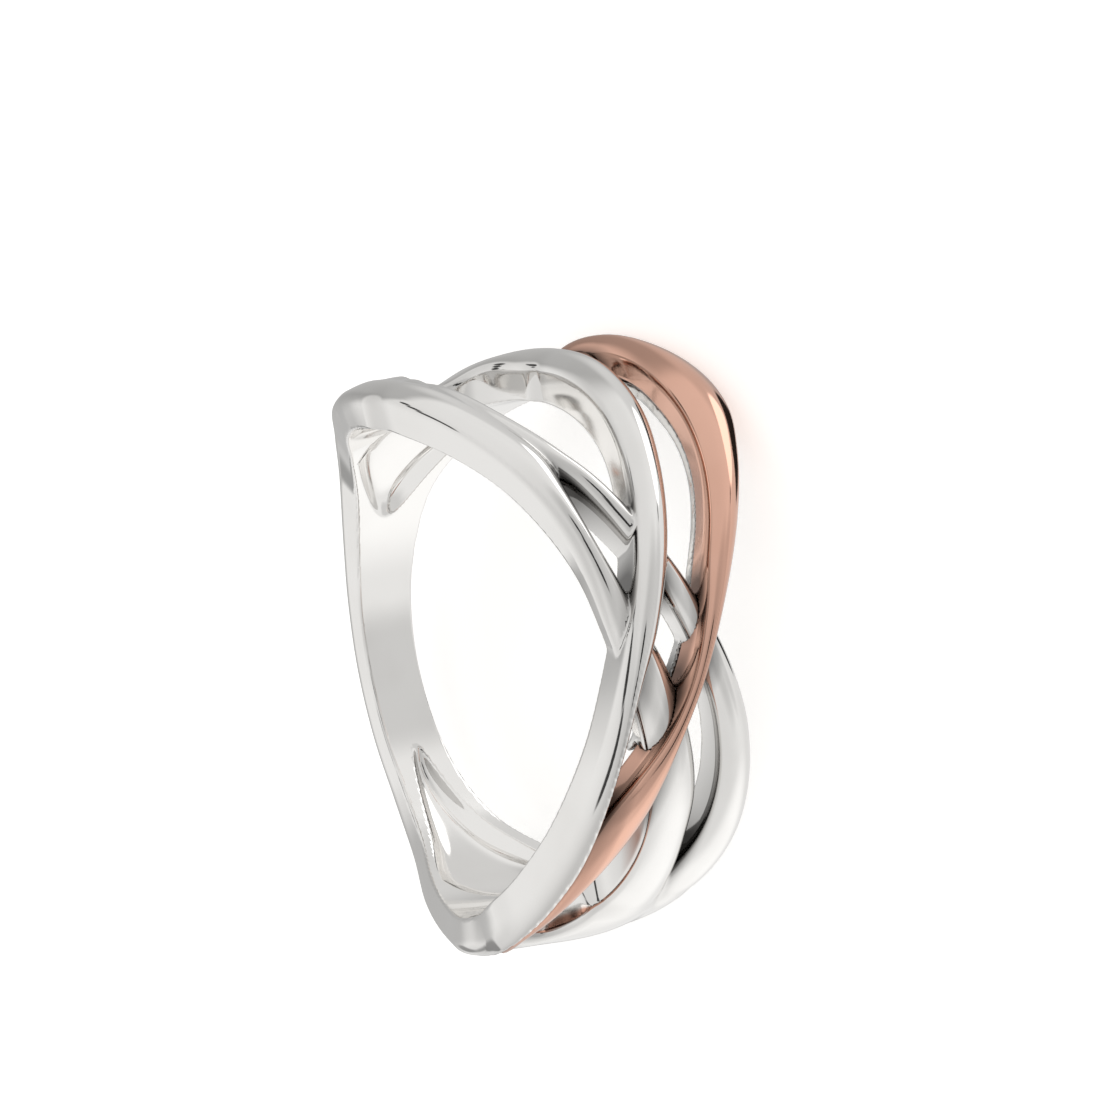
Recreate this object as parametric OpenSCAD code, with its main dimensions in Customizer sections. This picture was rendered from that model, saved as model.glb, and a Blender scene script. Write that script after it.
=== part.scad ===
// Crossover ring, lying on its side as it rests by itself, with its origin at the
// middle of the finger bore.
// Two pairs of strands cross at the front (+X) and merge at the shoulders into a
// narrow back band (-X). Angles run round the finger axis from the crossing,
// heights along it, with the side that faces up positive.

/* [Finger bore] */
// Diameter of the finger bore
bore_d = 17.2; // [15.5:0.1:21]

/* [Front] */
// Height along the finger axis that the tables of the strands are shares of
front_h = 10; // [8:0.5:12]
// Thickness of the under strands at their edges
under_edge_t = 1.25; // [0.9:0.05:1.6]
// Thickness of the over strands at their edges
over_edge_t = 1.55; // [1.2:0.05:2]
// Rise of a strand's dome over its edges
dome_rise = 0.45; // [0.2:0.05:0.7]
// How far the outer side walls lean outwards from bore to edge
wall_lean = 0.35; // [0:0.05:0.5]
// How far the side walls inside the gaps lean
gap_lean = 0.12; // [0:0.02:0.25]

/* [Back band] */
// Height of the back band at its edges
back_h = 2.1; // [1.6:0.1:4]
// Thickness of the back band at its edges
back_edge_t = 1.05; // [0.8:0.05:1.6]
// Rise of the back band's dome over its edges
back_rise = 0.2; // [0.05:0.05:0.4]

/* [Shoulders] */
// Thickness of the shoulders at their edges
shoulder_edge_t = 1.3; // [1:0.05:1.8]
// Depth of the scooped recesses inside the shoulders
scoop_depth = 0.55; // [0.2:0.05:0.8]
// Width of the rim left beside each recess
scoop_rim = 0.3; // [0.2:0.05:0.8]

/* [Rose strand] */
// Radial thickness of the silver rail that carries the rose strand
rail_t = 0.5; // [0.3:0.05:0.8]
// Gap left between the rose strand and its seat
seat_gap = 0.03; // [0.02:0.01:0.1]

/* [Rest] */
// Lean of the ring as it lies on its side, about the X axis
rest_roll = 3.5; // [-8:0.1:8]
// Lean of the ring as it lies on its side, about the Y axis
rest_lean = -10.8; // [-20:0.1:0]

/* [Hidden] */
bore_r = bore_d / 2;
// Radius that the shoulders and back band reach down to before the bore is cut, and
// how much further in each strand reaches than the last, so that no feet coincide
core_r = bore_r - 0.3;
foot_step = 0.1;
turn_step = 9.5;
dome_sides = 3;
bore_fn = 120;
// Turn of the bore's seam, which lies in the solid metal of the crossing
bore_seam = -12;
// The rail is this much narrower on each side, and lower, than the rose strand's seat
rail_inset = 0.06;
// Share of front_h that the back band's half height has in the outline table
BACK_SHARE = 0.105;
// First and last turn of each scooped recess
SCOOPS = [[-260, -216], [-158, -101]];

// Outline of the shoulders and back band: near and far edge as shares of front_h,
// and how much of the section is shoulder rather than back band.
OUTLINE = [
    // turn, near, far, shoulder
    [-281, 0.495, -0.490, 0.25],
    [-270, 0.480, -0.455, 0.85],
    [-255, 0.410, -0.360, 0.95],
    [-240, 0.290, -0.265, 0.90],
    [-225, 0.190, -0.175, 0.70],
    [-210, 0.135, -0.135, 0.35],
    [-195, 0.112, -0.110, 0.05],
    [-180, 0.105, -0.105, 0.00],
    [-165, 0.108, -0.110, 0.02],
    [-150, 0.122, -0.130, 0.10],
    [-135, 0.170, -0.185, 0.30],
    [-120, 0.265, -0.290, 0.50],
    [-105, 0.345, -0.340, 0.55],
    [-90, 0.420, -0.330, 0.55],
    [-77, 0.430, -0.300, 0.45]];

// Edges of each strand as shares of front_h, and its edge thickness as a share.
// The strands sink into the shoulders at their ends.
NEAR_UNDER = [
    // turn, near, far, lift
    [-98, 0.180, -0.190, 0.50],
    [-84, 0.160, -0.190, 0.75],
    [-70, 0.125, -0.175, 0.93],
    [-58, 0.085, -0.130, 1.00],
    [-44, 0.066, -0.113, 1.00],
    [-32, 0.080, -0.108, 1.00],
    [-20, 0.112, -0.078, 0.88],
    [-8, 0.155, -0.025, 0.74],
    [4, 0.195, 0.050, 0.72],
    [15, 0.225, 0.118, 0.80],
    [23, 0.256, 0.160, 0.92],
    [32, 0.297, 0.182, 1.00],
    [42, 0.345, 0.180, 1.00],
    [56, 0.425, 0.250, 1.00],
    [70, 0.485, 0.300, 1.00],
    [84, 0.475, 0.330, 0.85],
    [98, 0.420, 0.300, 0.55]];
FAR_UNDER = [
    // turn, near, far, lift
    [-95, -0.050, -0.260, 0.45],
    [-84, -0.055, -0.265, 0.60],
    [-70, -0.080, -0.290, 0.75],
    [-58, -0.122, -0.320, 0.90],
    [-45, -0.178, -0.337, 0.97],
    [-32, -0.192, -0.332, 0.97],
    [-20, -0.176, -0.312, 0.88],
    [-10, -0.141, -0.275, 0.78],
    [0, -0.095, -0.220, 0.72],
    [12, -0.020, -0.140, 0.75],
    [23, 0.064, -0.050, 0.88],
    [34, 0.150, 0.045, 1.00],
    [42, 0.225, 0.115, 1.00],
    [56, 0.330, 0.215, 0.98],
    [70, 0.380, 0.250, 0.90],
    [84, 0.390, 0.240, 0.65]];
NEAR_OVER = [
    // turn, near, far, lift
    [-97, 0.330, 0.280, 0.30],
    [-84, 0.390, 0.350, 0.50],
    [-70, 0.470, 0.430, 0.78],
    [-56, 0.450, 0.390, 0.90],
    [-42, 0.395, 0.325, 0.97],
    [-30, 0.340, 0.280, 1.00],
    [-18, 0.275, 0.215, 1.00],
    [-8, 0.220, 0.140, 1.00],
    [2, 0.155, 0.040, 1.00],
    [12, 0.085, -0.045, 1.00],
    [22, 0.020, -0.120, 1.00],
    [34, -0.052, -0.195, 1.00],
    [46, -0.108, -0.258, 1.00],
    [58, -0.140, -0.297, 0.97],
    [70, -0.150, -0.325, 0.90],
    [84, -0.140, -0.320, 0.75],
    [97, -0.120, -0.290, 0.45]];
FAR_OVER = [
    // turn, near, far, lift
    [-76, 0.420, 0.370, 0.72],
    [-66, 0.460, 0.365, 0.80],
    [-54, 0.430, 0.285, 0.90],
    [-44, 0.375, 0.190, 0.96],
    [-34, 0.285, 0.095, 1.00],
    [-26, 0.170, 0.035, 1.00],
    [-18, 0.060, -0.025, 1.00],
    [-8, -0.045, -0.120, 1.00],
    [3, -0.132, -0.225, 1.00],
    [13, -0.202, -0.325, 1.00],
    [23, -0.281, -0.420, 1.00],
    [33, -0.345, -0.505, 1.00],
    [44, -0.390, -0.580, 1.00],
    [56, -0.415, -0.600, 0.98],
    [68, -0.435, -0.580, 0.93],
    [80, -0.430, -0.530, 0.92],
    [92, -0.400, -0.470, 0.85]];

// The rail follows the rose strand where that is clear of the shoulders, and its
// last row lies inside the lower shoulder's wall
RAIL = concat(
    [for (row = FAR_OVER) if (row[0] > -30 && row[0] < 75)
        [row[0] + 1, row[1] - gap_lean / front_h, row[2] + wall_lean / front_h, 1]],
    [[81, -0.40, -0.46, 1]]);

// Smooth curves through the rows of a table
function row_at(t, tab, i = 0) =
    i >= len(tab) - 2 || t < tab[i + 1][0] ? i : row_at(t, tab, i + 1);
function slope(tab, c, i) =
    let (a = max(i - 1, 0), b = min(i + 1, len(tab) - 1))
    (tab[b][c] - tab[a][c]) / (tab[b][0] - tab[a][0]);
function curve(t, tab, c) =
    let (i = row_at(t, tab), a = tab[i], b = tab[i + 1], w = b[0] - a[0], u = (t - a[0]) / w)
    a[c] * (1 + 2 * u) * (1 - u) * (1 - u) + b[c] * u * u * (3 - 2 * u)
        + w * (slope(tab, c, i) * u * (1 - u) * (1 - u) - slope(tab, c, i + 1) * u * u * (1 - u));

// One section across the ring at a turn: side wall, dome, side wall
function section(t, near, far, edge_r, rise, foot_r, near_lean, far_lean) =
    let (mid = (near + far) / 2, half = (near - far) / 2)
    [for (p = concat(
        [[near - near_lean, foot_r]],
        [for (k = [0 : dome_sides])
            let (u = 1 - 2 * k / dome_sides) [mid + half * u, edge_r + rise * (1 - u * u)]],
        [[far + far_lean, foot_r]]))
        [p[1] * cos(t), p[1] * sin(t), p[0]]];

// Solid skin over sections in order of their turn
module skin(rings) {
    n = len(rings[0]);
    last = len(rings) - 1;
    polyhedron(
        points = [for (ring = rings) each ring],
        faces = concat(
            [[for (i = [0 : n - 1]) i]],
            [for (j = [0 : last - 1], i = [0 : n - 1])
                let (a = j * n + i, b = j * n + (i + 1) % n)
                each [[a, b + n, b], [a, a + n, b + n]]],
            [[for (i = [n - 1 : -1 : 0]) last * n + i]]));
}

// Sections of one strand from the first turn of its table to the last, grown all round
function strand_rings(tab, edge_t, rise, near_lean, far_lean, foot_r, grow) =
    let (t0 = tab[0][0], span = tab[len(tab) - 1][0] - t0, steps = round(span / turn_step))
    [for (j = [0 : steps])
        let (t = t0 + span * j / steps)
        section(t, front_h * curve(t, tab, 1) + grow, front_h * curve(t, tab, 2) - grow,
            bore_r + edge_t * curve(t, tab, 3) + grow, rise, foot_r - grow, near_lean, far_lean)];

// Edge of the band at a turn: the back band's own height plus the shoulders' flare
function band_edge(t, c) =
    let (s = curve(t, OUTLINE, c), sign = c == 1 ? 1 : -1)
    sign * back_h / 2 + front_h * (s - sign * BACK_SHARE);

// Sections of the shoulders and back band in one sweep round the back
function band_rings() =
    let (t0 = OUTLINE[0][0], span = OUTLINE[len(OUTLINE) - 1][0] - t0,
        steps = round(span / turn_step))
    [for (j = [0 : steps])
        let (t = t0 + span * j / steps, w = curve(t, OUTLINE, 3))
        section(t, band_edge(t, 1), band_edge(t, 2),
            bore_r + back_edge_t + w * (shoulder_edge_t - back_edge_t),
            back_rise + w * (dome_rise - back_rise), core_r, w * wall_lean, w * wall_lean)];

// Scooped recess inside a shoulder between two turns, oval and shallow at its ends
module scoop(t0, t1) {
    steps = round((t1 - t0) / turn_step);
    skin([for (j = [0 : steps])
        let (t = t0 + (t1 - t0) * j / steps, v = 2 * j / steps - 1,
            wide = max(sqrt(1 - v * v), 0.12), near = band_edge(t, 1) - wall_lean - scoop_rim,
            far = band_edge(t, 2) + wall_lean + scoop_rim, mid = (near + far) / 2)
        section(t, mid + (near - mid) * wide, mid + (far - mid) * wide,
            bore_r + 0.1 * scoop_depth, 0.9 * scoop_depth * wide, core_r - foot_step, 0, 0)]);
}

module near_under(grow = 0)
    skin(strand_rings(NEAR_UNDER, under_edge_t, dome_rise, wall_lean, gap_lean,
        core_r - foot_step, grow));
module far_under(grow = 0)
    skin(strand_rings(FAR_UNDER, under_edge_t, dome_rise, gap_lean, wall_lean,
        core_r - 2 * foot_step, grow));
module near_over(grow = 0)
    skin(strand_rings(NEAR_OVER, over_edge_t, dome_rise, gap_lean, gap_lean,
        core_r - 3 * foot_step, grow));
module far_over(foot_r, grow = 0)
    skin(strand_rings(FAR_OVER, over_edge_t, dome_rise, gap_lean, wall_lean, foot_r, grow));

// Silver rail under the rose strand, a little narrower than it
module rail()
    skin(strand_rings(RAIL, rail_t, 0, 0, 0, core_r - 4 * foot_step, -rail_inset));

// Lays the ring on its side, with the middle of its bore at the origin
module at_rest() rotate([rest_roll, rest_lean, 0]) children();

// Silver strands, shoulders and back band as one casting. resize() changes no size
// here: it joins them into one mesh before the bore is cut as an exact cylinder.
module silver_casting() {
    color("gainsboro")
    at_rest() difference() {
        resize([0, 0, 0]) difference() {
            union() {
                near_under();
                far_under();
                near_over();
                rail();
                difference() {
                    skin(band_rings());
                    far_over(bore_r + rail_t);
                }
            }
            for (turns = SCOOPS) scoop(turns[0], turns[1]);
        }
        rotate([0, 0, bore_seam])
            cylinder(r = bore_r, h = 3 * front_h, center = true, $fn = bore_fn);
    }
}

// Rose strand on its rail, clear of everything silver by the seat gap
module rose_strand() {
    color("rosybrown")
    at_rest() resize([0, 0, 0]) difference() {
        far_over(bore_r + rail_t + seat_gap, -seat_gap);
        near_under(seat_gap);
        far_under(seat_gap);
        near_over(seat_gap);
    }
}

silver_casting();
rose_strand();
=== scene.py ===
"""Looks of the crossover ring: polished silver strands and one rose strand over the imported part."""

import logging
import math
from dataclasses import dataclass, field
from enum import Enum
from typing import Callable, Sequence, Union

import bpy
import numpy as np
from mathutils import Matrix, Vector

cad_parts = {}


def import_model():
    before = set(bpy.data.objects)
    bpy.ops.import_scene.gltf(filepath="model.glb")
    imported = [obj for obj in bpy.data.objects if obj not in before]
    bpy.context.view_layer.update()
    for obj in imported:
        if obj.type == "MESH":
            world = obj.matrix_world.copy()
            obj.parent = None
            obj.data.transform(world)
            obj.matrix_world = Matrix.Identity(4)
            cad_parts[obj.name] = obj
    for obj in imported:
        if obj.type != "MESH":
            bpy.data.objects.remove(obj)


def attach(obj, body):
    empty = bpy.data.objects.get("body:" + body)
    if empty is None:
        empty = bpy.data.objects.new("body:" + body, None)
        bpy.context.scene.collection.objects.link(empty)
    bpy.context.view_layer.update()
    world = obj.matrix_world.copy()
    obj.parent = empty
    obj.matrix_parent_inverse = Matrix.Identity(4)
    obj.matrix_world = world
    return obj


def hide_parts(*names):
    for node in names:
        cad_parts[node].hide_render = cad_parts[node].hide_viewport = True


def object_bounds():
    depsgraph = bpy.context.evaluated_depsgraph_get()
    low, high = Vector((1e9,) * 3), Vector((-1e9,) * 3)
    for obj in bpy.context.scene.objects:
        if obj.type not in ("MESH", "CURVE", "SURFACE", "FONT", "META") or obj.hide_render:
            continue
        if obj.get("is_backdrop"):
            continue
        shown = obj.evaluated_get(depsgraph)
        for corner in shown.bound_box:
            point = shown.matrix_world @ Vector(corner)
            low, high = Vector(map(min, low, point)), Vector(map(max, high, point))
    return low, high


LOG = logging.getLogger("crossover_ring")

MM = 0.001
IMAGE_PX = 1120
BORE_R = 8.6
FRONT_H = 10.0
GAP_LEAN = 0.12
WALL_LEAN = 0.35
DOME_RISE = 0.45
UNDER_EDGE_T = 1.25
OVER_EDGE_T = 1.55
BACK_H = 2.1
BACK_EDGE_T = 1.05
BACK_RISE = 0.2
BACK_SHARE = 0.105
SHOULDER_EDGE_T = 1.3
SCOOP_DEPTH = 0.55
SCOOP_RIM = 0.3
RAIL_T = 0.5
RAIL_INSET = 0.06
MIDDLE_R = 9.6
MIN_HALF = 0.15
FOOT_DEPTH = 0.4
SIDE_ROUND = 0.02
STRAND_END_ROUND = 0.8
REST_ROLL = 3.5
REST_LEAN = -10.8

Row = tuple[float, float, float, float]
Colour = tuple[float, float, float]
SocketOrNumber = Union[bpy.types.NodeSocket, float, None]
FieldOf = Callable[[np.ndarray, np.ndarray, np.ndarray], np.ndarray]


class Slot(Enum):
    """Names of the two material slots."""

    SILVER = "silver"
    ROSE = "rose_gold"


@dataclass(frozen=True)
class EdgeTable:
    """Edges of a strand or of the band round the ring.

    Args:
        rows: (turn in degrees, near edge, far edge, share), edges as shares of FRONT_H.
    """

    rows: tuple[Row, ...]

    def at(self, turns: np.ndarray, column: int) -> np.ndarray:
        """Reads a column as a smooth curve.

        Args:
            turns: Angles round the finger axis, in degrees.
            column: 1 for near, 2 for far, 3 for the share.

        Returns:
            One value per turn.
        """
        tab = np.array(self.rows)
        t, v = tab[:, 0], tab[:, column]
        slope = np.empty_like(v)
        slope[1:-1] = (v[2:] - v[:-2]) / (t[2:] - t[:-2])
        slope[0] = (v[1] - v[0]) / (t[1] - t[0])
        slope[-1] = (v[-1] - v[-2]) / (t[-1] - t[-2])
        i = np.clip(np.searchsorted(t, turns, side="right") - 1, 0, len(t) - 2)
        w = t[i + 1] - t[i]
        u = (turns - t[i]) / w
        return (
            v[i] * (1 + 2 * u) * (1 - u) ** 2
            + v[i + 1] * u**2 * (3 - 2 * u)
            + w * (slope[i] * u * (1 - u) ** 2 - slope[i + 1] * u**2 * (1 - u))
        )


def smax(a: np.ndarray, b: np.ndarray, k: float) -> np.ndarray:
    """Larger of two fields, with the crease between them rounded.

    Args:
        a: One field.
        b: The other field.
        k: Width of the rounding, in mm.

    Returns:
        The joined field.
    """
    overlap = np.maximum(k - np.abs(a - b), 0) / k
    return np.maximum(a, b) + overlap * overlap * k / 4


def smin(a: np.ndarray, b: np.ndarray, k: float) -> np.ndarray:
    """Smaller of two fields, with a fillet between them.

    Args:
        a: One field.
        b: The other field.
        k: Width of the fillet, in mm.

    Returns:
        The joined field.
    """
    return -smax(-a, -b, k)


def section_field(
    r: np.ndarray,
    h: np.ndarray,
    near: np.ndarray,
    far: np.ndarray,
    edge_r: np.ndarray,
    rise: np.ndarray,
    leans: tuple[np.ndarray, np.ndarray],
    tilt: np.ndarray,
    crease: float,
) -> np.ndarray:
    """Distance to a domed bar with flat leaning sides, negative inside.

    Args:
        r: Radius of the points, in mm.
        h: Height of the points along the finger axis, in mm.
        near: Height of the near edge.
        far: Height of the far edge.
        edge_r: Radius of both edges.
        rise: Rise of the dome over them.
        leans: Lean of the near and the far side wall.
        tilt: Cosine of the bar's slope along the finger axis.
        crease: Rounding between side walls and dome, in mm.

    Returns:
        The field at each point.
    """
    mid, half = (near + far) / 2, np.maximum((near - far) / 2, MIN_HALF)
    depth = (edge_r - r) / (edge_r - BORE_R + FOOT_DEPTH)
    d_near = (h - mid - half + leans[0] * depth) * tilt
    d_far = (mid - half - h + leans[1] * depth) * tilt
    u = np.clip((h - mid) / half, -1.5, 1.5)
    d_top = (r - edge_r - rise * (1 - u * u)) / np.sqrt(1 + (2 * rise * u / half) ** 2)
    return smax(smax(d_near, d_far, SIDE_ROUND), d_top, crease)


@dataclass(frozen=True)
class Strand:
    """One strand of the crossing.

    Args:
        table: Its edges and the share of the edge thickness at each turn.
        edge_t: Thickness at its edges, in mm.
        near_lean: Lean of the near side wall, in mm.
        far_lean: Lean of the far side wall, in mm.
        rise: Rise of the dome, in mm.
        crease: Rounding between side walls and dome, in mm.
    """

    table: EdgeTable
    edge_t: float
    near_lean: float
    far_lean: float
    rise: float = DOME_RISE
    crease: float = 0.2

    def field(self, turns: np.ndarray, r: np.ndarray, h: np.ndarray, grow: float = 0.0) -> np.ndarray:
        """Distance to the strand, negative inside.

        Args:
            turns: Turn of the points, in degrees.
            r: Their radius, in mm.
            h: Their height along the finger axis, in mm.
            grow: How much larger the strand is made on every side, in mm.

        Returns:
            The field at each point.
        """
        first, last = self.table.rows[0][0], self.table.rows[-1][0]
        t = np.clip(turns, first, last)
        near = FRONT_H * self.table.at(t, 1) + grow
        far = FRONT_H * self.table.at(t, 2) - grow
        step = np.clip(t + 1, first, last), np.clip(t - 1, first, last)
        climb = FRONT_H * sum(self.table.at(step[0], c) - self.table.at(step[1], c) for c in (1, 2)) / 2
        slope = climb / np.maximum(step[0] - step[1], 0.5) * 180 / math.pi / MIDDLE_R
        body = section_field(
            r, h, near, far, BORE_R + self.edge_t * self.table.at(t, 3) + grow, self.rise,
            (self.near_lean, self.far_lean), 1 / np.sqrt(1 + slope**2), self.crease,
        )
        beyond = np.maximum(first - turns, turns - last) * math.pi / 180 * r
        return smax(body, beyond, STRAND_END_ROUND)


OUTLINE = EdgeTable((
    (-281, 0.495, -0.490, 0.25),
    (-270, 0.480, -0.455, 0.85),
    (-255, 0.410, -0.360, 0.95),
    (-240, 0.290, -0.265, 0.90),
    (-225, 0.190, -0.175, 0.70),
    (-210, 0.135, -0.135, 0.35),
    (-195, 0.112, -0.110, 0.05),
    (-180, 0.105, -0.105, 0.00),
    (-165, 0.108, -0.110, 0.02),
    (-150, 0.122, -0.130, 0.10),
    (-135, 0.170, -0.185, 0.30),
    (-120, 0.265, -0.290, 0.50),
    (-105, 0.345, -0.340, 0.55),
    (-90, 0.420, -0.330, 0.55),
    (-77, 0.430, -0.300, 0.45),
    (-66, 0.445, -0.280, 0.20),
))
NEAR_UNDER = EdgeTable((
    (-98, 0.180, -0.190, 0.50),
    (-84, 0.160, -0.190, 0.75),
    (-70, 0.125, -0.175, 0.93),
    (-58, 0.085, -0.130, 1.00),
    (-44, 0.066, -0.113, 1.00),
    (-32, 0.080, -0.108, 1.00),
    (-20, 0.112, -0.078, 0.88),
    (-8, 0.155, -0.025, 0.74),
    (4, 0.195, 0.050, 0.72),
    (15, 0.225, 0.118, 0.80),
    (23, 0.256, 0.160, 0.92),
    (32, 0.297, 0.182, 1.00),
    (42, 0.345, 0.180, 1.00),
    (56, 0.425, 0.250, 1.00),
    (70, 0.485, 0.300, 1.00),
    (84, 0.475, 0.330, 0.85),
    (98, 0.420, 0.300, 0.55),
))
FAR_UNDER = EdgeTable((
    (-95, -0.050, -0.260, 0.45),
    (-84, -0.055, -0.265, 0.60),
    (-70, -0.080, -0.290, 0.75),
    (-58, -0.122, -0.320, 0.90),
    (-45, -0.178, -0.337, 0.97),
    (-32, -0.192, -0.332, 0.97),
    (-20, -0.176, -0.312, 0.88),
    (-10, -0.141, -0.275, 0.78),
    (0, -0.095, -0.220, 0.72),
    (12, -0.020, -0.140, 0.75),
    (23, 0.064, -0.050, 0.88),
    (34, 0.150, 0.045, 1.00),
    (42, 0.225, 0.115, 1.00),
    (56, 0.330, 0.215, 0.98),
    (70, 0.380, 0.250, 0.90),
    (84, 0.390, 0.240, 0.65),
))
NEAR_OVER = EdgeTable((
    (-97, 0.330, 0.280, 0.30),
    (-84, 0.390, 0.350, 0.50),
    (-70, 0.470, 0.430, 0.78),
    (-56, 0.450, 0.390, 0.90),
    (-42, 0.395, 0.325, 0.97),
    (-30, 0.340, 0.280, 1.00),
    (-18, 0.275, 0.215, 1.00),
    (-8, 0.220, 0.140, 1.00),
    (2, 0.155, 0.040, 1.00),
    (12, 0.085, -0.045, 1.00),
    (22, 0.020, -0.120, 1.00),
    (34, -0.052, -0.195, 1.00),
    (46, -0.108, -0.258, 1.00),
    (58, -0.140, -0.297, 0.97),
    (70, -0.150, -0.325, 0.90),
    (84, -0.140, -0.320, 0.75),
    (97, -0.120, -0.290, 0.45),
))
FAR_OVER = EdgeTable((
    (-88, 0.375, 0.345, 0.52),
    (-76, 0.420, 0.370, 0.72),
    (-66, 0.460, 0.365, 0.80),
    (-54, 0.430, 0.285, 0.90),
    (-44, 0.375, 0.190, 0.96),
    (-34, 0.285, 0.095, 1.00),
    (-26, 0.170, 0.035, 1.00),
    (-18, 0.060, -0.025, 1.00),
    (-8, -0.045, -0.120, 1.00),
    (3, -0.132, -0.225, 1.00),
    (13, -0.202, -0.325, 1.00),
    (23, -0.281, -0.420, 1.00),
    (33, -0.345, -0.505, 1.00),
    (44, -0.390, -0.580, 1.00),
    (56, -0.415, -0.600, 0.98),
    (68, -0.435, -0.580, 0.93),
    (80, -0.430, -0.530, 0.90),
    (90, -0.405, -0.480, 0.75),
    (99, -0.385, -0.440, 0.40),
))


def rail_table() -> EdgeTable:
    """Works out the rail's edges from the rose strand's, as in the part.

    Returns:
        The table.
    """
    inset = RAIL_INSET / FRONT_H
    rows = [
        (t + 1, near - GAP_LEAN / FRONT_H - inset, far + WALL_LEAN / FRONT_H + inset, 1.0)
        for t, near, far, _ in FAR_OVER.rows
        if -30 < t < 75
    ]
    return EdgeTable(tuple(rows) + ((81, -0.40 - inset, -0.46 + inset, 1.0),))


NEAR_UNDER_STRAND = Strand(NEAR_UNDER, UNDER_EDGE_T, WALL_LEAN, GAP_LEAN)
FAR_UNDER_STRAND = Strand(FAR_UNDER, UNDER_EDGE_T, GAP_LEAN, WALL_LEAN)
NEAR_OVER_STRAND = Strand(NEAR_OVER, OVER_EDGE_T, GAP_LEAN, GAP_LEAN)
FAR_OVER_STRAND = Strand(FAR_OVER, OVER_EDGE_T, GAP_LEAN, WALL_LEAN)
RAIL_STRAND = Strand(rail_table(), RAIL_T - RAIL_INSET, 0.0, 0.0, rise=0.0, crease=0.05)


@dataclass(frozen=True)
class Scoop:
    """Recess inside a shoulder.

    Args:
        first: Turn where it starts, in degrees.
        last: Turn where it ends.
        middle: Height of its middle, in mm.
        half: Half of its height, in mm.
    """

    first: float
    last: float
    middle: float
    half: float


@dataclass(frozen=True)
class GapEnd:
    """Rounded end of the opening between the two pairs of strands.

    Args:
        reach: How far it runs into the shoulder, in mm.
        middle: Height of its middle, in mm.
        half: Half of its height, in mm.
    """

    reach: float
    middle: float
    half: float


@dataclass(frozen=True)
class Valley:
    """Shallow dip between the two pairs on the upper shoulder.

    Args:
        full: Turn where it is deepest, in degrees.
        gone: Turn where it has run out.
        middle: Height of its middle, in mm.
        depth: Its depth, in mm.
        spread: How wide it spreads, in mm.
    """

    full: float
    gone: float
    middle: float
    depth: float
    spread: float

    def dip(self, turns: np.ndarray, h: np.ndarray) -> np.ndarray:
        """Depth of the valley.

        Args:
            turns: Turns in the band's own range.
            h: Heights, in mm.

        Returns:
            The depth at each point, in mm.
        """
        along = np.clip((self.gone - turns) / (self.gone - self.full), 0, 1)
        across = np.exp(-((h - self.middle) / self.spread) ** 2)
        return self.depth * along * along * (3 - 2 * along) * across


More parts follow.
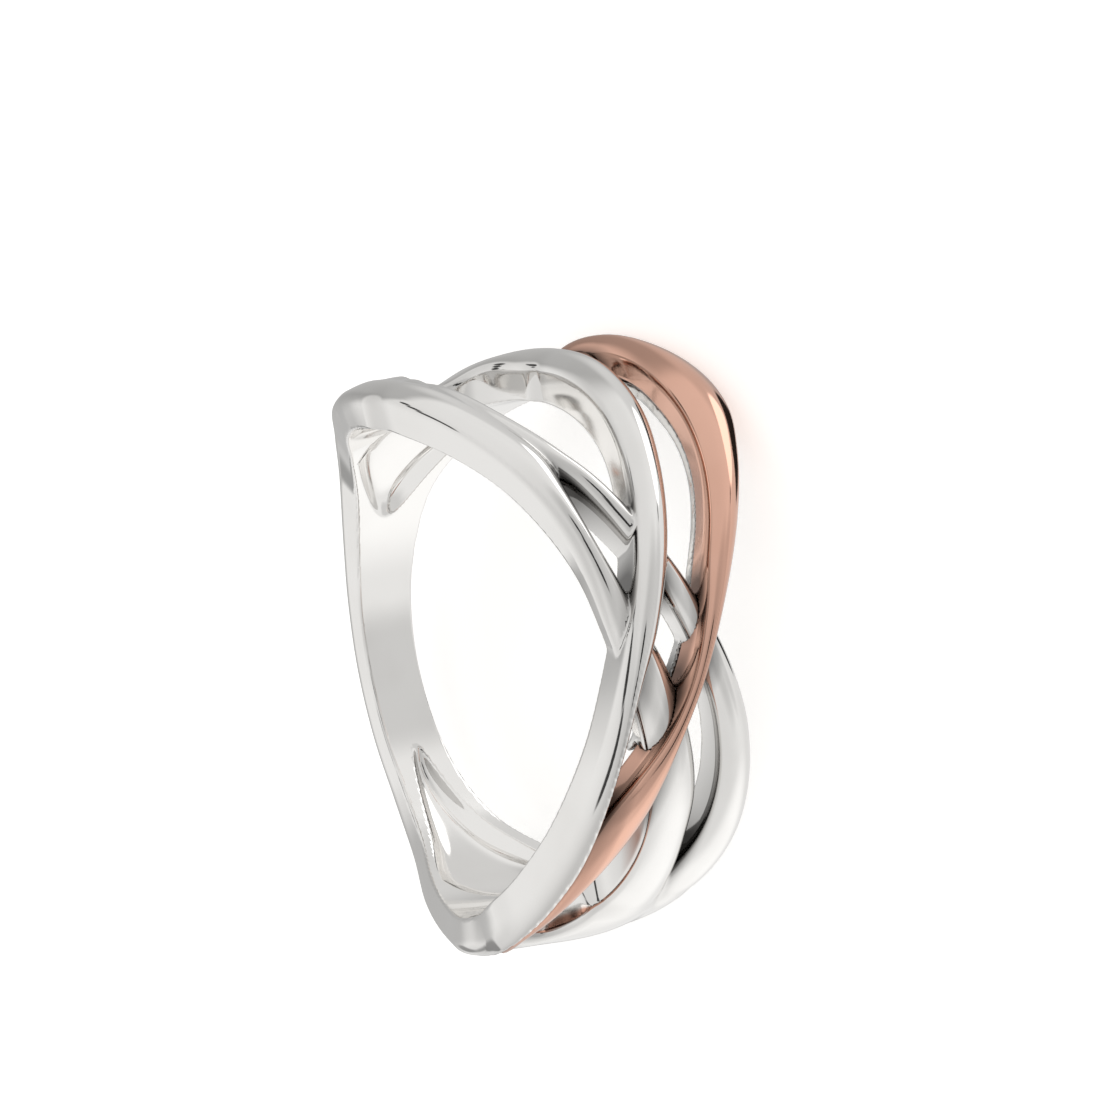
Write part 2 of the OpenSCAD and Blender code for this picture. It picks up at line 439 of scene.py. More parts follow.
@dataclass(frozen=True)
class Band:
    """Shoulders and back band in one sweep round the back, with their scooped recesses.

    Args:
        table: Its edges and the share of the shoulder at each turn.
        scoops: Recesses inside the shoulders.
        upper_gap: End of the opening at the upper shoulder.
        lower_gap: End of the opening at the lower shoulder.
        valley: Dip on the upper shoulder.
        crease: Rounding between side walls and dome, in mm.
        end_round: Rounding at the band's front ends, in mm.
        gap_round: Rounding round the gaps' ends, in mm.
    """

    table: EdgeTable = OUTLINE
    scoops: tuple[Scoop, ...] = (Scoop(-261, -218, 0.25, 2.0), Scoop(-159, -101, 0.0, 2.2))
    upper_gap: GapEnd = GapEnd(2.8, 0.6, 2.1)
    lower_gap: GapEnd = GapEnd(2.2, 2.5, 1.3)
    valley: Valley = Valley(-258, -226, 0.5, 0.65, 1.3)
    crease: float = 0.42
    end_round: float = 0.7
    gap_round: float = 0.4

    @staticmethod
    def wrap(turns: np.ndarray) -> np.ndarray:
        """Turns in the band's own range.

        Args:
            turns: Turns from -180 to 180.

        Returns:
            The same turns from -360 to 0.
        """
        return np.where(turns > 0, turns - 360, turns)

    def edge(self, turns: np.ndarray, column: int) -> np.ndarray:
        """Height of an edge.

        Args:
            turns: Turns in the band's own range.
            column: 1 for the near edge, 2 for the far edge.

        Returns:
            The height at each turn, in mm.
        """
        sign = 1 if column == 1 else -1
        return sign * BACK_H / 2 + FRONT_H * (self.table.at(turns, column) - sign * BACK_SHARE)

    def field(self, turns: np.ndarray, r: np.ndarray, h: np.ndarray) -> np.ndarray:
        """Distance to the band, negative inside. Its front ends are rounded between the strands.

        Args:
            turns: Turn of the points, in degrees.
            r: Their radius, in mm.
            h: Their height, in mm.

        Returns:
            The field at each point.
        """
        own = self.wrap(turns)
        first, last = self.table.rows[0][0], self.table.rows[-1][0]
        t = np.clip(own, first, last)
        w = self.table.at(t, 3)
        near, far = self.edge(t, 1), self.edge(t, 2)
        body = section_field(
            r + self.valley.dip(own, h), h, near, far, BORE_R + BACK_EDGE_T + w * (SHOULDER_EDGE_T - BACK_EDGE_T),
            BACK_RISE + w * (DOME_RISE - BACK_RISE), (w * WALL_LEAN, w * WALL_LEAN), 1.0, self.crease,
        )
        beyond = np.maximum(first - own, own - last) * math.pi / 180 * r
        body = smax(body, beyond, self.end_round)
        for end, gap in ((first, self.upper_gap), (last, self.lower_gap)):
            along = (own - end) * math.pi / 180 * r / gap.reach
            away = np.hypot(along, (h - gap.middle) / gap.half) - 1
            body = smax(body, -away * min(gap.reach, gap.half), self.gap_round)
        return body

    def scoop_field(self, turns: np.ndarray, r: np.ndarray, h: np.ndarray) -> np.ndarray:
        """Distance to the scooped recesses, negative inside them.

        Args:
            turns: Turn of the points, in degrees.
            r: Their radius, in mm.
            h: Their height, in mm.

        Returns:
            The field at each point.
        """
        own = self.wrap(turns)
        found = np.full(np.broadcast(own, r, h).shape, 9.0)
        for scoop in self.scoops:
            t = np.clip(own, scoop.first, scoop.last)
            room = (self.edge(t, 1) - self.edge(t, 2)) / 2 - WALL_LEAN - SCOOP_RIM
            w = (h - scoop.middle) / np.minimum(scoop.half, np.maximum(room, 0.5))
            v = (2 * own - scoop.first - scoop.last) / (scoop.last - scoop.first)
            out = np.minimum(np.abs(v) ** 3 + w * w, 1.5)
            found = np.minimum(found, r - BORE_R - SCOOP_DEPTH * (1 - out**2))
        return found


@dataclass(frozen=True)
class Grid:
    """Cylindrical grid that a field is sampled on.

    Args:
        turn_step: Degrees between samples.
        r_range: Lowest and highest radius, in mm.
        h_range: Lowest and highest height, in mm.
        step: Spacing in radius and height, in mm.
    """

    turn_step: float
    r_range: tuple[float, float]
    h_range: tuple[float, float]
    step: float

    def axes(self) -> tuple[np.ndarray, np.ndarray, np.ndarray]:
        """Places of the samples.

        Returns:
            Turns, radii and heights.
        """
        turns = np.arange(0, 360, self.turn_step) - 180 + self.turn_step / 3
        radii = np.arange(self.r_range[0], self.r_range[1], self.step)
        heights = np.arange(self.h_range[0], self.h_range[1], self.step)
        return turns, radii, heights


class Surface:
    """Closed smooth mesh on the zero level of a field round the finger axis.

    Args:
        field_of: The piece's own field.
        grid: Grid that the mesh is first read from.
        near_by: Field of the other piece.
    """

    REACHES = (0.2, 0.6)
    SLIT_TURNS = (-92.0, -36.0)
    SLIT_FADES = (6.0, 8.0)
    SLIT_OVER = 0.25
    SLIT_RADII = (BORE_R + 0.15, BORE_R + 1.15)
    SLIT_REACH = 2.2
    NORMAL_REACH = 0.02
    LONGEST_STEP = 0.06

    def __init__(self, field_of: FieldOf, grid: Grid, near_by: FieldOf) -> None:
        self.field_of = field_of
        self.grid = grid
        self.near_by = near_by

    @staticmethod
    def read(field_of: FieldOf, points: np.ndarray) -> np.ndarray:
        """Reads a field at points in space.

        Args:
            field_of: The field.
            points: Points in the upright frame, in mm.

        Returns:
            One value per point.
        """
        turns = np.degrees(np.arctan2(points[:, 1], points[:, 0]))
        return field_of(turns, np.hypot(points[:, 0], points[:, 1]), points[:, 2])

    def at(self, points: np.ndarray) -> np.ndarray:
        """This surface's own field at points in space."""
        return self.read(self.field_of, points)

    def openness(self, points: np.ndarray, normals: np.ndarray) -> np.ndarray:
        """How open the space over each point is: the mask of the painted shade in crevices.

        Args:
            points: Points on the surface, in mm.
            normals: Their normals.

        Returns:
            1 on a free face, down to 0 deep in a crevice.
        """
        found = np.ones(len(points))
        for reach in self.REACHES:
            ahead = points + normals * reach
            room = np.minimum(self.at(ahead), self.read(self.near_by, ahead))
            found = np.minimum(found, np.clip(room / reach, 0, 1))
        return found

    def closeness(self, points: np.ndarray) -> np.ndarray:
        """How close the rose strand is, in the slit under its far edge: the mask of the painted reflection and
        shade there.

        Args:
            points: Points on the surface, in mm.

        Returns:
            1 beside the strand, 0 away from it or outside the slit.
        """
        turns = np.degrees(np.arctan2(points[:, 1], points[:, 0]))
        radius = np.hypot(points[:, 0], points[:, 1])
        t = np.clip(turns, FAR_OVER.rows[0][0], FAR_OVER.rows[-1][0])
        top = FRONT_H * FAR_OVER.at(t, 2) + self.SLIT_OVER
        under = np.clip((top - points[:, 2]) / 0.2, 0, 1)
        start = np.clip((turns - self.SLIT_TURNS[0]) / self.SLIT_FADES[0], 0, 1)
        end = np.clip((self.SLIT_TURNS[1] - turns) / self.SLIT_FADES[1], 0, 1)
        inner = np.clip((self.SLIT_RADII[1] - radius) / 0.2, 0, 1)
        outer = np.clip((radius - self.SLIT_RADII[0]) / 0.1, 0, 1)
        near = np.clip(self.SLIT_REACH - self.read(self.near_by, points), 0, 1)
        return near * under * start * end * inner * outer

    def gradient(self, points: np.ndarray, reach: float = 0.012) -> np.ndarray:
        """The field's gradient at points in space.

        Args:
            points: Points in the upright frame, in mm.
            reach: Half of the step that it is measured over, in mm.

        Returns:
            One vector per point.
        """
        out = np.empty_like(points)
        for axis in range(3):
            shift = np.zeros(3)
            shift[axis] = reach
            out[:, axis] = (self.at(points + shift) - self.at(points - shift)) / (2 * reach)
        return out

    def extract(self) -> tuple[np.ndarray, np.ndarray]:
        """Surface nets over the grid, which closes on itself in turn.

        Returns:
            Points in space and faces of four corners, facing out.
        """
        turns, radii, heights = self.grid.axes()
        values = self.field_of(turns[:, None, None], radii[None, :, None], heights[None, None, :])
        inside = values < 0
        count = len(turns)
        corners = [(i, j, k) for i in (0, 1) for j in (0, 1) for k in (0, 1)]
        size_r, size_h = len(radii) - 1, len(heights) - 1

        def shifted(array: np.ndarray, corner: tuple[int, int, int]) -> np.ndarray:
            moved = np.roll(array, -corner[0], axis=0)
            return moved[:, corner[1]:corner[1] + size_r, corner[2]:corner[2] + size_h]

        total = sum(shifted(inside, c).astype(np.int8) for c in corners)
        cells = np.argwhere((total > 0) & (total < 8))
        level = np.stack([
            values[(cells[:, 0] + c[0]) % count, cells[:, 1] + c[1], cells[:, 2] + c[2]] for c in corners
        ], 1)
        place, hits = np.zeros((len(cells), 3)), np.zeros(len(cells))
        for x, a in enumerate(corners):
            for y, b in enumerate(corners):
                if y <= x or sum(abs(p - q) for p, q in zip(a, b)) != 1:
                    continue
                crosses = (level[:, x] < 0) != (level[:, y] < 0)
                share = level[:, x] / np.where(crosses, level[:, x] - level[:, y], 1)
                spot = np.array(a) + share[:, None] * (np.array(b) - np.array(a))
                place += np.where(crosses[:, None], spot, 0)
                hits += crosses
        place = place / hits[:, None] + cells
        turn = np.radians(turns[0] + place[:, 0] * self.grid.turn_step)
        r = radii[0] + place[:, 1] * self.grid.step
        h = heights[0] + place[:, 2] * self.grid.step
        points = np.stack([r * np.cos(turn), r * np.sin(turn), h], 1)
        index = np.full((count, size_r, size_h), -1, np.int64)
        index[tuple(cells.T)] = np.arange(len(cells))
        faces = []
        for axis, (p, q) in ((0, (1, 2)), (1, (2, 0)), (2, (0, 1))):
            ahead = np.roll(inside, -1, axis=axis)
            change = inside != ahead
            if axis == 1:
                change[:, -1, :] = False
            if axis == 2:
                change[:, :, -1] = False
            edges = np.argwhere(change)
            quad = []
            for dp, dq in ((0, 0), (1, 0), (1, 1), (0, 1)):
                cell = edges.copy()
                cell[:, p] -= dp
                cell[:, q] -= dq
                quad.append(index[cell[:, 0] % count, cell[:, 1], cell[:, 2]])
            quad = np.stack(quad, 1)
            flip = ~inside[tuple(edges.T)]
            quad[flip] = quad[flip][:, ::-1]
            faces.append(quad)
        return points, np.concatenate(faces)

    def relax(self, points: np.ndarray, faces: np.ndarray, rounds: int = 3) -> np.ndarray:
        """Evens out the points and puts them on the zero level.

        Args:
            points: The mesh's points, in mm.
            faces: Its faces.
            rounds: Rounds of evening out.

        Returns:
            The moved points.
        """
        pairs = np.concatenate([faces[:, [0, 1]], faces[:, [1, 2]], faces[:, [2, 3]], faces[:, [3, 0]]])
        for turn in range(rounds + 2):
            slope = self.gradient(points)
            length = np.maximum((slope**2).sum(1), 0.05)
            if turn < rounds:
                total = np.zeros_like(points)
                for axis in range(3):
                    total[:, axis] = np.bincount(pairs[:, 0], points[pairs[:, 1], axis], len(points))
                    total[:, axis] += np.bincount(pairs[:, 1], points[pairs[:, 0], axis], len(points))
                near = np.bincount(pairs[:, 0], minlength=len(points)) + np.bincount(
                    pairs[:, 1], minlength=len(points)
                )
                move = (total / near[:, None] - points) * 0.5
                move -= slope * ((move * slope).sum(1) / length)[:, None]
                points = points + move
            step = -self.at(points)[:, None] * slope / length[:, None]
            reach = np.linalg.norm(step, axis=1, keepdims=True)
            points = points + step * np.minimum(1, self.LONGEST_STEP / np.maximum(reach, 1e-9))
        return points

    def build(self, name: str, turn: np.ndarray) -> bpy.types.Object:
        """Makes the mesh.

        Args:
            name: Name of the object.
            turn: Turn of the upright ring to its rest.

        Returns:
            The object in the row frame, in metres, shaded by the field's own normals.
        """
        points, faces = self.extract()
        points = self.relax(points, faces)
        normals = self.gradient(points, self.NORMAL_REACH)
        normals /= np.maximum(np.linalg.norm(normals, axis=1, keepdims=True), 1e-9)
        # Masks of the painted shade in crevices and of the painted reflection and shade in the slit.
        painted_light_masks = {"openness": self.openness(points, normals), "closeness": self.closeness(points)}
        normals = normals @ turn.T
        mesh = bpy.data.meshes.new(name)
        mesh.from_pydata((points @ turn.T * MM).tolist(), [], faces.tolist())
        mesh.polygons.foreach_set("use_smooth", [True] * len(mesh.polygons))
        mesh.update()
        a, c = points[faces[:, 0]], points[faces[:, 2]]
        b, d = points[faces[:, 1]], points[faces[:, 3]]
        volume = ((a * np.cross(b, c)).sum() + (a * np.cross(c, d)).sum()) / 6
        if volume < 0:
            mesh.flip_normals()
        for key, values in painted_light_masks.items():
            mesh.attributes.new(key, "FLOAT", "POINT").data.foreach_set("value", values.astype(np.float32))
        mesh.normals_split_custom_set_from_vertices(normals.tolist())
        obj = bpy.data.objects.new(name, mesh)
        bpy.context.scene.collection.objects.link(obj)
        LOG.info("%s: %d faces, %.1f mm3", name, len(faces), abs(volume))
        return obj


@dataclass(frozen=True)
class RingShape:
    """Fields of the two visible pieces of the ring, in the upright frame.

    Args:
        band: Shoulders and back band.
        gap: Gap round the rose strand, in mm.
        under_fillet: Fillet between the two under strands, in mm.
        strand_fillet: Fillet under the near over strand and the rail.
        shoulder_fillet: Fillet between strands and shoulders.
        scoop_round: Rounding of the scoops' rims.
        bore_round: Rounding of the bore's edges.
    """

    band: Band = field(default_factory=Band)
    gap: float = 0.012
    under_fillet: float = 0.14
    strand_fillet: float = 0.1
    shoulder_fillet: float = 0.6
    scoop_round: float = 0.3
    bore_round: float = 0.12

    def silver(self, turns: np.ndarray, r: np.ndarray, h: np.ndarray) -> np.ndarray:
        """The silver casting: strands, rail, shoulders and back band with the bore cut.

        Args:
            turns: Turn of the points, in degrees.
            r: Their radius, in mm.
            h: Their height, in mm.

        Returns:
            The field at each point, negative inside.
        """
        under = smin(
            NEAR_UNDER_STRAND.field(turns, r, h), FAR_UNDER_STRAND.field(turns, r, h), self.under_fillet
        )
        solid = smin(under, NEAR_OVER_STRAND.field(turns, r, h), self.strand_fillet)
        solid = smin(solid, RAIL_STRAND.field(turns, r, h), self.strand_fillet)
        seat = smax(FAR_OVER_STRAND.field(turns, r, h), BORE_R + RAIL_T - r, 0.05)
        body = smax(self.band.field(turns, r, h), -seat, 0.04)
        solid = smin(solid, body, self.shoulder_fillet)
        solid = smax(solid, -self.band.scoop_field(turns, r, h), self.scoop_round)
        return smax(solid, BORE_R - r, self.bore_round)

    def rose(self, turns: np.ndarray, r: np.ndarray, h: np.ndarray) -> np.ndarray:
        """The rose strand, clear of everything silver by the gap.

        Args:
            turns: Turn of the points, in degrees.
            r: Their radius, in mm.
            h: Their height, in mm.

        Returns:
            The field at each point, negative inside.
        """
        strand = FAR_OVER_STRAND.field(turns, r, h, -self.gap)
        strand = smax(strand, BORE_R + RAIL_T + self.gap - r, 0.1)
        return smax(strand, self.gap - self.silver(turns, r, h), 0.03)

    def build(self, turn: np.ndarray) -> tuple[bpy.types.Object, bpy.types.Object]:
        """Makes both pieces.

        Args:
            turn: Turn of the upright ring to its rest.

        Returns:
            The silver ring and the rose strand, in the row frame.
        """
        silver = Surface(self.silver, Grid(0.63, (8.42, 10.9), (-6.3, 5.4), 0.105), self.rose)
        rose = Surface(self.rose, Grid(0.36, (8.95, 10.9), (-6.3, 5.4), 0.07), self.silver)
        return silver.build("silver_ring", turn), rose.build("rose_over_strand", turn)


@dataclass(frozen=True)
class Finish:
    """Finish of a polished metal.

    Args:
        name: Name of the material.
        colour: Base colour of the metal.
        shade: Colour that it drifts towards in faint patches.
        roughness: Roughness where it is best polished.
        haze: Roughness added by polishing marks and wear.
        slit_reflection_and_shade: Colour painted in the grooves beside the other piece, a painted reflection of
            the rose strand on the silver and painted shade on the rose.
        crevice_shade: How much the painted shade darkens deep crevices.
    """

    name: str
    colour: Colour
    shade: Colour
    roughness: float
    haze: float
    slit_reflection_and_shade: Colour
    crevice_shade: float = 0.75


# Painted shade: near-black colour that deep crevices and narrow gaps are darkened towards.
CREVICE_SHADE_COLOUR = (0.03, 0.027, 0.025)
# The last colour of each finish is painted in the slit: a rose-brown painted reflection on the silver, a darker
# painted shade on the rose.
SILVER = Finish("polished_silver", (0.90, 0.89, 0.875), (0.80, 0.785, 0.765), 0.045, 0.06, (0.50, 0.27, 0.20))
ROSE = Finish("polished_rose_gold", (0.83, 0.50, 0.385), (0.74, 0.42, 0.31), 0.06, 0.07, (0.74, 0.42, 0.31))


class Nodes:
    """Small helpers for building shader node trees.

    Args:
        tree: The tree that nodes are added to.
    """

    COLOUR_A, COLOUR_B, COLOUR_OUT = 6, 7, 2

    def __init__(self, tree: bpy.types.NodeTree) -> None:
        self.tree = tree

    def add(self, kind: str, **values: object) -> bpy.types.Node:
        """Adds a node.

        Args:
            kind: Type of the node.
            values: Its properties, or its inputs by name.

        Returns:
            The node.
        """
        node = self.tree.nodes.new(kind)
        for key, value in values.items():
            if hasattr(node, key):
                setattr(node, key, value)
            else:
                node.inputs[key.replace("_", " ")].default_value = value
        return node

    def mix(self, share: bpy.types.NodeSocket, a: bpy.types.NodeSocket, b: Colour) -> bpy.types.NodeSocket:
        """Mixes a colour into another.

        Args:
            share: How much of the second one.
            a: The first colour.
            b: The second colour.

        Returns:
            The mixed colour.
        """
        node = self.add("ShaderNodeMix", data_type="RGBA")
        self.link(share, node.inputs["Factor"])
        self.link(a, node.inputs[self.COLOUR_A])
        node.inputs[self.COLOUR_B].default_value = (*b, 1)
        return node.outputs[self.COLOUR_OUT]

    def link(self, a: bpy.types.NodeSocket, b: bpy.types.NodeSocket) -> None:
        """Joins two sockets."""
        self.tree.links.new(a, b)

    def math(
        self, operation: str, a: SocketOrNumber, b: SocketOrNumber = None, c: SocketOrNumber = None
    ) -> bpy.types.NodeSocket:
        """Adds a math node.

        Args:
            operation: What it works out.
            a: First socket or number.
            b: Second one, if it takes two.
            c: Third one, if it takes three.

        Returns:
            Its output.
        """
        node = self.tree.nodes.new("ShaderNodeMath")
        node.operation = operation
        for i, value in enumerate((a, b, c)):
            if value is None:
                continue
            if isinstance(value, bpy.types.NodeSocket):
                self.link(value, node.inputs[i])
            else:
                node.inputs[i].default_value = value
        return node.outputs[0]


class PolishGroup:
    """Shared group: faint tone patches, polishing marks and fine wear of a polished metal."""

    NAME = "polished_metal"

    @classmethod
    def tree(cls) -> bpy.types.NodeTree:
        """Makes the group, or finds it once it is made.

        Returns:
            The group's tree.
        """
        found = bpy.data.node_groups.get(cls.NAME)
        if found:
            return found
        tree = bpy.data.node_groups.new(cls.NAME, "ShaderNodeTree")
        face = tree.interface
        face.new_socket("Colour", in_out="INPUT", socket_type="NodeSocketColor")
        face.new_socket("Shade", in_out="INPUT", socket_type="NodeSocketColor")
        face.new_socket("Roughness", in_out="INPUT", socket_type="NodeSocketFloat")
        face.new_socket("Haze", in_out="INPUT", socket_type="NodeSocketFloat")
        face.new_socket("Colour", in_out="OUTPUT", socket_type="NodeSocketColor")
        face.new_socket("Roughness", in_out="OUTPUT", socket_type="NodeSocketFloat")
        face.new_socket("Height", in_out="OUTPUT", socket_type="NodeSocketFloat")
        n = Nodes(tree)
        inp, out = n.add("NodeGroupInput"), n.add("NodeGroupOutput")
        place = n.add("ShaderNodeTexCoord")
        patches = n.add("ShaderNodeTexNoise", Scale=260.0, Detail=3.0, Roughness=0.55)
        marks = n.add("ShaderNodeTexNoise", Scale=2600.0, Detail=4.0, Roughness=0.6)
        waves = n.add("ShaderNodeTexNoise", Scale=520.0, Detail=2.0, Roughness=0.5)
        for texture in (patches, marks, waves):
            n.link(place.outputs["Object"], texture.inputs["Vector"])
        tone = n.add("ShaderNodeMapRange", clamp=True)
        for key, value in (("From Min", 0.45), ("From Max", 0.75), ("To Min", 0.0), ("To Max", 0.5)):
            tone.inputs[key].default_value = value
        n.link(patches.outputs["Fac"], tone.inputs["Value"])
        mix = n.add("ShaderNodeMix", data_type="RGBA")
        n.link(tone.outputs["Result"], mix.inputs["Factor"])
        n.link(inp.outputs["Colour"], mix.inputs[n.COLOUR_A])
        n.link(inp.outputs["Shade"], mix.inputs[n.COLOUR_B])
        n.link(mix.outputs[n.COLOUR_OUT], out.inputs["Colour"])
        haze = n.math("MULTIPLY", inp.outputs["Haze"], marks.outputs["Fac"])
        n.link(n.math("ADD", inp.outputs["Roughness"], haze), out.inputs["Roughness"])
        fine = n.math("MULTIPLY", marks.outputs["Fac"], 0.15)
        n.link(n.math("ADD", fine, waves.outputs["Fac"]), out.inputs["Height"])
        return tree


def metal(finish: Finish) -> bpy.types.Material:
    """Material of a polished metal, with painted shade in its crevices and a painted reflection in the slit
    beside the other piece.

    Args:
        finish: Its colours and roughness.

    Returns:
        The material.
    """
    material = bpy.data.materials.new(finish.name)
    material.use_nodes = True
    tree = material.node_tree
    n = Nodes(tree)
    shader = tree.nodes["Principled BSDF"]
    shader.inputs["Metallic"].default_value = 1.0
    shader.inputs["Base Color"].default_value = (*finish.colour, 1)
    group = n.add("ShaderNodeGroup", node_tree=PolishGroup.tree())
    group.inputs["Colour"].default_value = (*finish.colour, 1)
    group.inputs["Shade"].default_value = (*finish.shade, 1)
    group.inputs["Roughness"].default_value = finish.roughness
    group.inputs["Haze"].default_value = finish.haze
    bump = n.add("ShaderNodeBump")
    bump.inputs["Strength"].default_value = 0.02
    bump.inputs["Distance"].default_value = 0.02 * MM
    n.link(group.outputs["Height"], bump.inputs["Height"])
    n.link(bump.outputs["Normal"], shader.inputs["Normal"])
    n.link(group.outputs["Roughness"], shader.inputs["Roughness"])
    # Painted reflection and shade in the slit beside the other piece: the silver is tinted rose-brown, the rose
    # is darkened.
    close = n.add("ShaderNodeAttribute", attribute_name="closeness")
    slit_tinted_colour = n.mix(close.outputs["Fac"], group.outputs["Colour"], finish.slit_reflection_and_shade)
    # Painted shade: the more closed in a point is, the further its colour is darkened towards near-black.
    opened = n.add("ShaderNodeAttribute", attribute_name="openness")
    crevice_shade_share = n.math("MULTIPLY", n.math("SUBTRACT", 1.0, opened.outputs["Fac"]), finish.crevice_shade)
    n.link(n.mix(crevice_shade_share, slit_tinted_colour, CREVICE_SHADE_COLOUR), shader.inputs["Base Color"])
    return material


@dataclass(frozen=True)
class PhotoCamera:
    """The photograph's camera, fitted to the ring's outlines in the upright frame.

    Args:
        azimuth: Turn of the camera round the upright ring, in degrees from its near side.
        elevation: Height of the camera over the upright ring's middle, in degrees.
        roll: Roll about the line of sight, in degrees.
        bore_px: Pixel of the bore's middle.
        px_per_mm: Scale at the bore's middle.
        distance: Distance from the bore's middle, in mm.
    """

    azimuth: float = 59.4066
    elevation: float = 2.9835
    roll: float = -10.1964
    bore_px: tuple[float, float] = (515.19, 651.82)
    px_per_mm: float = 28.8036
    distance: float = 211.57

    def axes(self) -> np.ndarray:
        """Axes of the camera in the upright frame.

        Returns:
            Right, up and back as columns.
        """
        a, e, r = np.radians([self.azimuth, self.elevation, self.roll])
        back = np.array([math.sin(a) * math.cos(e), -math.cos(a) * math.cos(e), math.sin(e)])
        right = np.array([math.cos(a), math.sin(a), 0.0])
        up = np.cross(back, right)
        right, up = (
            math.cos(r) * right + math.sin(r) * up,
            -math.sin(r) * right + math.cos(r) * up,
        )
        to_model = np.array([[1, 0, 0], [0, 0, 1], [0, -1, 0]], float)
        return to_model @ np.stack([right, up, back], 1)

    def make(self, rest: np.ndarray) -> bpy.types.Object:
        """Adds the camera and makes it the scene's.

        Args:
            rest: Turn of the upright ring to its rest.

        Returns:
            The camera object.
        """
        data = bpy.data.cameras.new("photo_camera")
        data.sensor_fit = "HORIZONTAL"
        data.sensor_width = 36.0
        data.lens = self.px_per_mm * self.distance * 36.0 / IMAGE_PX
        data.shift_x = (IMAGE_PX / 2 - self.bore_px[0]) / IMAGE_PX
        data.shift_y = (self.bore_px[1] - IMAGE_PX / 2) / IMAGE_PX
        data.clip_start, data.clip_end = 0.01, 10.0
        camera = bpy.data.objects.new("photo_camera", data)
        turn = rest @ self.axes()
        place = turn[:, 2] * self.distance * MM
        camera.matrix_world = Matrix.Translation(place.tolist()) @ Matrix(turn.tolist()).to_4x4()
        bpy.context.scene.collection.objects.link(camera)
        bpy.context.scene.camera = camera
        return camera


@dataclass(frozen=True)
class SoftBox:
    """A bright or dark area of the studio round the ring.

    Args:
        towards: Direction to its middle, as shares of the camera's right, up and back.
        inner: Angle in degrees that is fully covered.
        outer: Angle in degrees where it has faded out.
        light: What it does to the surrounding grey there.
    """

    towards: tuple[float, float, float]
    inner: float
    outer: float
    light: float


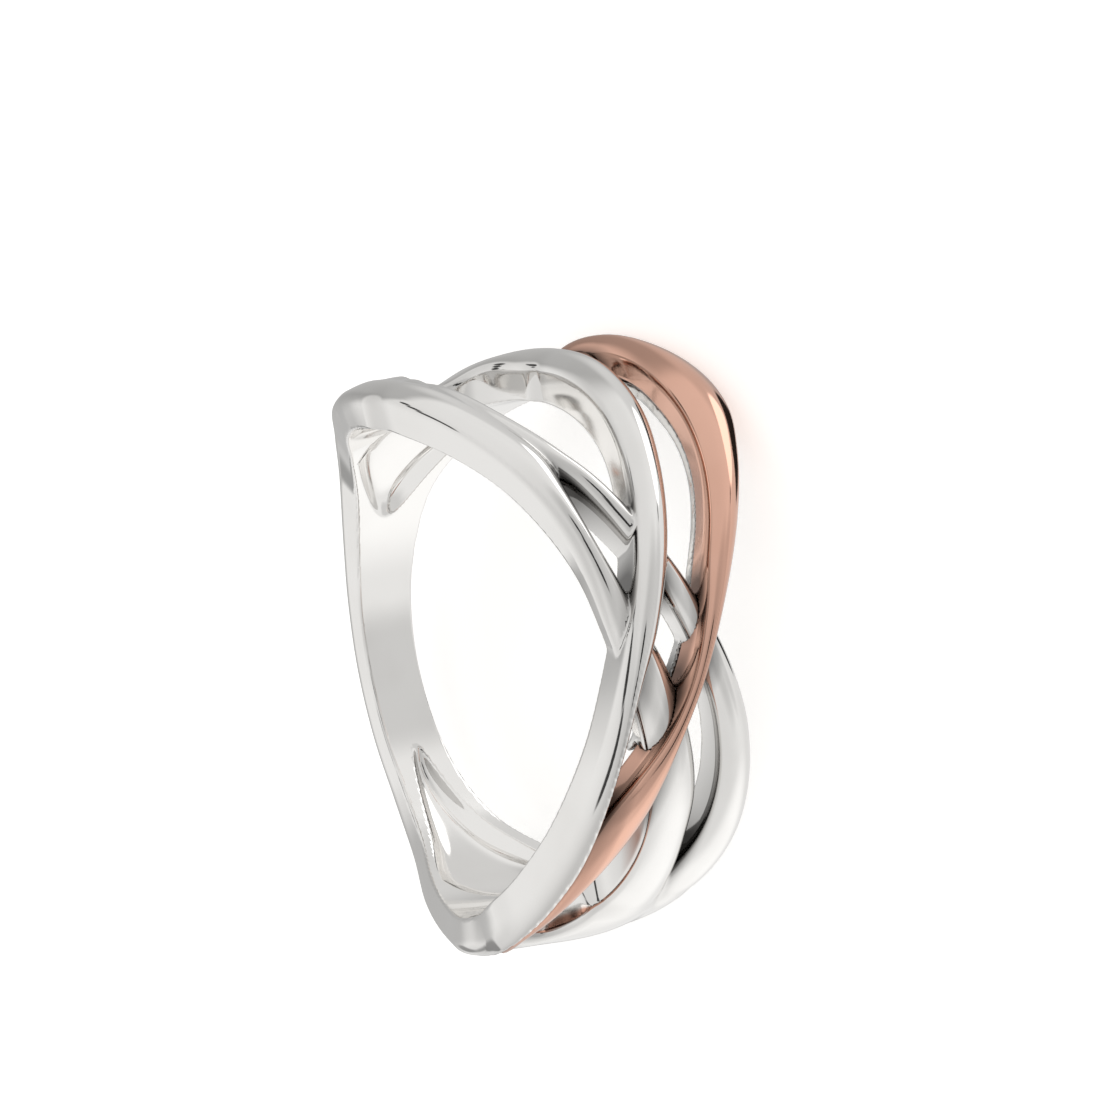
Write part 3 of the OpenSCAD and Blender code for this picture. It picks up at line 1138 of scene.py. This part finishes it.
class Studio:
    """White floor, soft surroundings and a lamp.

    Args:
        axes: The photograph's camera axes in the row frame, as columns.
        floor_z: Height of the floor, in metres.
    """

    GREY = 0.88
    FLOOR_GLOW = 0.38
    BOXES = (
        SoftBox((-0.3, 0.5, -0.8), 36, 52, 0.50),
        SoftBox((0.3, 0.8, -0.5), 15, 35, 0.70),
        SoftBox((0.3, 0.1, 0.95), 30, 50, 0.66),
        SoftBox((0.85, 0.2, 0.45), 18, 34, 0.66),
        SoftBox((0.6, 0.76, -0.2), 17, 19, 1.7),
        SoftBox((0.74, 0.6, 0.1), 2, 4, 0.1),
        SoftBox((0.35, -0.8, -0.3), 20, 50, 1.10),
        SoftBox((-0.45, -0.35, -0.82), 6, 11, 0.35),
        SoftBox((0.6, 0.38, -0.7), 13, 15, 0.02),
        SoftBox((-0.9, 0.42, 0.0), 5, 8, 0.05),
        SoftBox((-0.95, 0.22, 0.15), 5, 8, 0.05),
        SoftBox((-0.96, 0.0, 0.25), 5, 8, 0.05),
        SoftBox((0.0, 0.28, 0.95), 5, 8, 0.03),
        SoftBox((0.0, 0.05, 1.0), 6, 9, 0.03),
    )

    def __init__(self, axes: np.ndarray, floor_z: float) -> None:
        self.axes = axes
        self.floor_z = floor_z

    def surroundings(self) -> None:
        """White studio with soft boxes and dark cards, set by direction."""
        world = bpy.data.worlds.new("studio")
        world.use_nodes = True
        bpy.context.scene.world = world
        n = Nodes(world.node_tree)
        background = world.node_tree.nodes["Background"]
        place = n.add("ShaderNodeTexCoord")
        level: SocketOrNumber = self.GREY
        for box in self.BOXES:
            way = self.axes @ np.array(box.towards)
            way = way / np.linalg.norm(way)
            dot = n.add("ShaderNodeVectorMath", operation="DOT_PRODUCT")
            n.link(place.outputs["Generated"], dot.inputs[0])
            dot.inputs[1].default_value = way.tolist()
            mask = n.add("ShaderNodeMapRange", interpolation_type="SMOOTHSTEP")
            mask.inputs["From Min"].default_value = math.cos(math.radians(box.outer))
            mask.inputs["From Max"].default_value = math.cos(math.radians(box.inner))
            n.link(dot.outputs["Value"], mask.inputs["Value"])
            span = n.math("SUBTRACT", box.light, level)
            level = n.math("MULTIPLY_ADD", mask.outputs["Result"], span, level)
        n.link(level, background.inputs["Strength"])
        background.inputs["Color"].default_value = (1.0, 0.995, 0.985, 1)

    def floor(self) -> bpy.types.Object:
        """Adds the pale floor under the ring.

        Returns:
            The floor.
        """
        size = 1.5
        corners = [(-size, -size), (size, -size), (size, size), (-size, size)]
        mesh = bpy.data.meshes.new("floor")
        mesh.from_pydata([(x, y, self.floor_z) for x, y in corners], [], [(0, 1, 2, 3)])
        obj = bpy.data.objects.new("floor", mesh)
        bpy.context.scene.collection.objects.link(obj)
        material = bpy.data.materials.new("white_floor")
        material.use_nodes = True
        shader = material.node_tree.nodes["Principled BSDF"]
        shader.inputs["Base Color"].default_value = (0.97, 0.965, 0.955, 1)
        shader.inputs["Roughness"].default_value = 0.6
        shader.inputs["Emission Color"].default_value = (1.0, 0.995, 0.985, 1)
        shader.inputs["Emission Strength"].default_value = self.FLOOR_GLOW
        mesh.materials.append(material)
        obj.visible_glossy = False
        obj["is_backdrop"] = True
        return obj

    def light(self, name: str, towards: Sequence[float], distance: float, size: float, watts: float) -> None:
        """Adds a square soft lamp aimed at the ring.

        Args:
            name: Its name.
            towards: Direction to it, in the camera's axes.
            distance: How far off it is, in metres.
            size: Its side, in metres.
            watts: Its power.
        """
        data = bpy.data.lights.new(name, "AREA")
        data.shape = "SQUARE"
        data.size = size
        data.energy = watts
        obj = bpy.data.objects.new(name, data)
        way = Vector((self.axes @ np.array(towards)).tolist()).normalized()
        obj.location = way * distance
        obj.rotation_euler = way.to_track_quat("Z", "Y").to_euler()
        obj.visible_glossy = False
        bpy.context.scene.collection.objects.link(obj)

    def build(self) -> None:
        """Makes the whole studio."""
        self.surroundings()
        self.floor()
        self.light("key", (0.1, 0.9, 0.5), 0.5, 0.25, 1.0)
        bpy.context.scene.view_settings.view_transform = "Standard"


def rest_turn() -> np.ndarray:
    """Turn of the upright ring to its rest on its side.

    Returns:
        A turn of three rows.
    """
    a, b = math.radians(REST_ROLL), math.radians(REST_LEAN)
    roll = np.array([[1, 0, 0], [0, math.cos(a), -math.sin(a)], [0, math.sin(a), math.cos(a)]])
    lean = np.array([[math.cos(b), 0, math.sin(b)], [0, 1, 0], [-math.sin(b), 0, math.cos(b)]])
    return lean @ roll


def main() -> None:
    """Builds the ring's looks, its studio and its camera."""
    logging.basicConfig(level=logging.INFO)
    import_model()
    cad_low, cad_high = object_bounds()
    rest = rest_turn()
    camera = PhotoCamera()
    silver, rose = RingShape().build(rest)
    pieces = ((silver, "silver_casting", Slot.SILVER, SILVER), (rose, "rose_strand", Slot.ROSE, ROSE))
    for obj, node, slot, finish in pieces:
        obj.data.materials.clear()
        obj.data.materials.append(metal(finish))
        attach(obj, "root")
        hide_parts(node)
    Studio(rest @ camera.axes(), float(cad_low[2])).build()
    camera.make(rest)


if __name__ == "__main__":
    main()
